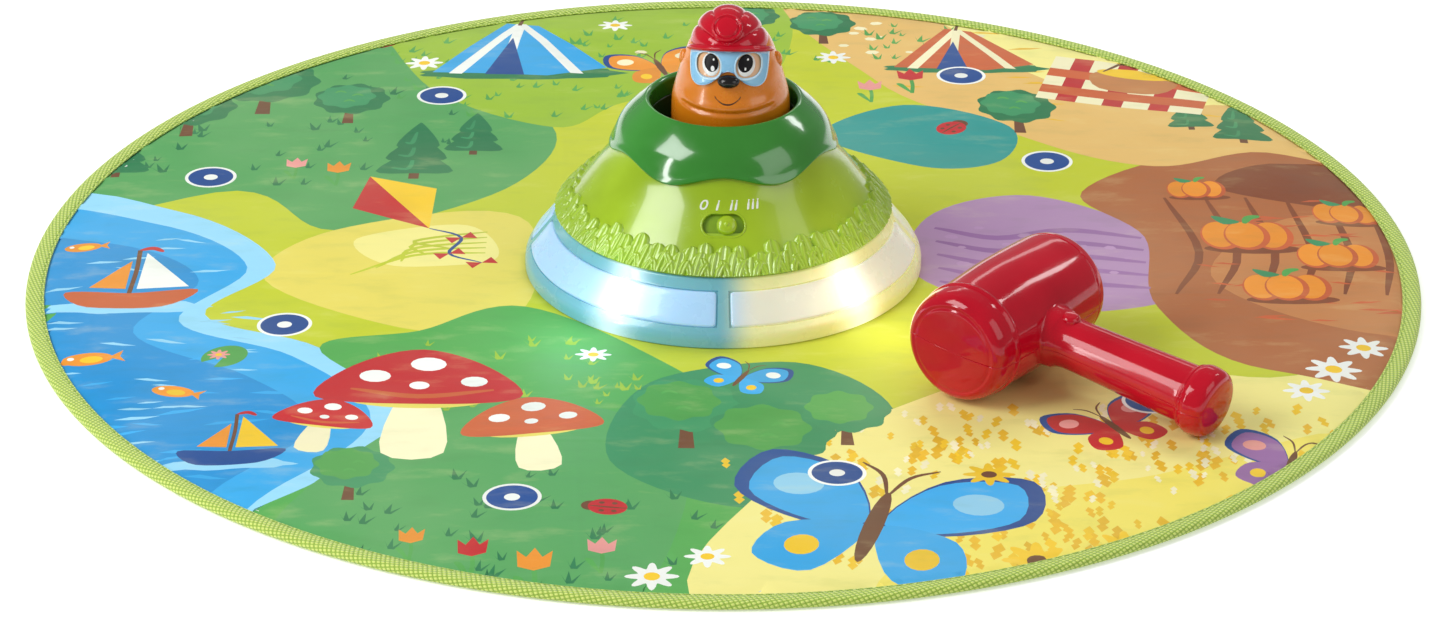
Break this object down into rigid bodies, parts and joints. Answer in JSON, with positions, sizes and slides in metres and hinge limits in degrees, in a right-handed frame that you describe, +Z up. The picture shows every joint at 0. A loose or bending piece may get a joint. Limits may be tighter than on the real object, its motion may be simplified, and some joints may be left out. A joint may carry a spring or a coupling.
{
  "type": "electronic play mat",
  "caption": "Round fabric play mat with a hill-shaped light and sound console in its middle, a spring-loaded mole that pops out of the hill, and a loose plastic mallet.",
  "frame": {"origin": "middle of the mat, on the floor under it", "axes": "+Z up, -Y towards the side that the level switch and the mole's face look to, +X to that side's right"},
  "size_m": [0.8, 0.8, 0.1629],
  "materials": {
    "backing": "matt non-slip coating",
    "foam": "foamed",
    "film": "smooth film",
    "print": "printed fabric",
    "binding": "woven tape",
    "white_plastic": "fine texture",
    "milky_plastic": "translucent",
    "window_plastic": "translucent",
    "lime_plastic": "polished",
    "grass_plastic": "satin",
    "green_plastic": "polished",
    "dark_green_plastic": "satin",
    "orange_plastic": "polished",
    "red_plastic": "polished",
    "blue_plastic": "satin",
    "eye_white": "polished, with printed pupils",
    "black_plastic": "polished",
    "steel": "zinc plated",
    "circuit_board": "solder mask",
    "cell_wrap": "plain sleeve",
    "paper_cone": "pressed paper"
  },
  "bodies": {
    "console": {"mat_backing": "backing", "mat_foam": "foam", "mat_touch_film": "film", "mat_top_sheet": "print", "edge_binding": "binding", "base_plate": "white_plastic", "base_screw_1": "steel", "base_screw_2": "steel", "base_screw_3": "steel", "base_screw_4": "steel", "battery_door": "white_plastic", "battery_door_screw": "steel", "battery_cell_1": "cell_wrap", "battery_cell_2": "cell_wrap", "battery_cell_3": "cell_wrap", "battery_contact_plus": "steel", "battery_contact_minus": "steel", "battery_contact_bridge_1": "steel", "battery_contact_bridge_2": "steel", "speaker_basket": "steel", "speaker_cone": "paper_cone", "speaker_magnet": "steel", "main_board": "circuit_board", "board_screw_1": "steel", "board_screw_2": "steel", "strike_sensor": "black_plastic", "light_ring": "milky_plastic", "light_window_1": "window_plastic", "light_window_2": "window_plastic", "light_window_3": "window_plastic", "light_window_4": "window_plastic", "light_board": "circuit_board", "window_lamp_1": "window_plastic", "window_lamp_2": "window_plastic", "window_lamp_3": "window_plastic", "window_lamp_4": "window_plastic", "dome_shell": "lime_plastic", "grass_skirt": "grass_plastic", "hill_collar": "green_plastic", "mole_well": "dark_green_plastic", "return_spring": "steel", "level_switch": "black_plastic", "level_board": "circuit_board", "level_board_screw_1": "steel", "level_board_screw_2": "steel"},
    "mole": {"mole_body": "orange_plastic", "mole_eye_left": "eye_white", "mole_eye_right": "eye_white", "mole_nose": "black_plastic", "mole_goggles": "blue_plastic", "mole_hat": "red_plastic", "plunger_stem": "white_plastic", "plunger_screw": "steel", "plunger_clip": "steel"},
    "level_knob": {"level_knob": "lime_plastic"},
    "hammer": {"hammer_shell_upper": "red_plastic", "hammer_shell_lower": "red_plastic"}
  },
  "joints": [
    {"name": "mole_press", "type": "slide", "parent": "console", "child": "mole", "axis": [0, 0, -1], "range_m": [0, 0.018], "stiffness_N_per_m": 150, "springref_m": -0.012, "deforming": ["return_spring"]},
    {"name": "level_slide", "type": "hinge", "parent": "console", "child": "level_knob", "pos_m": [0, 0, 0.0622], "axis": [0, 0, 1], "range_deg": [-5.6, 2.8]},
    {"name": "hammer_lift", "type": "slide", "parent": "console", "child": "hammer", "axis": [0, 0, 1], "range_m": [0, 0.25]}
  ]
}
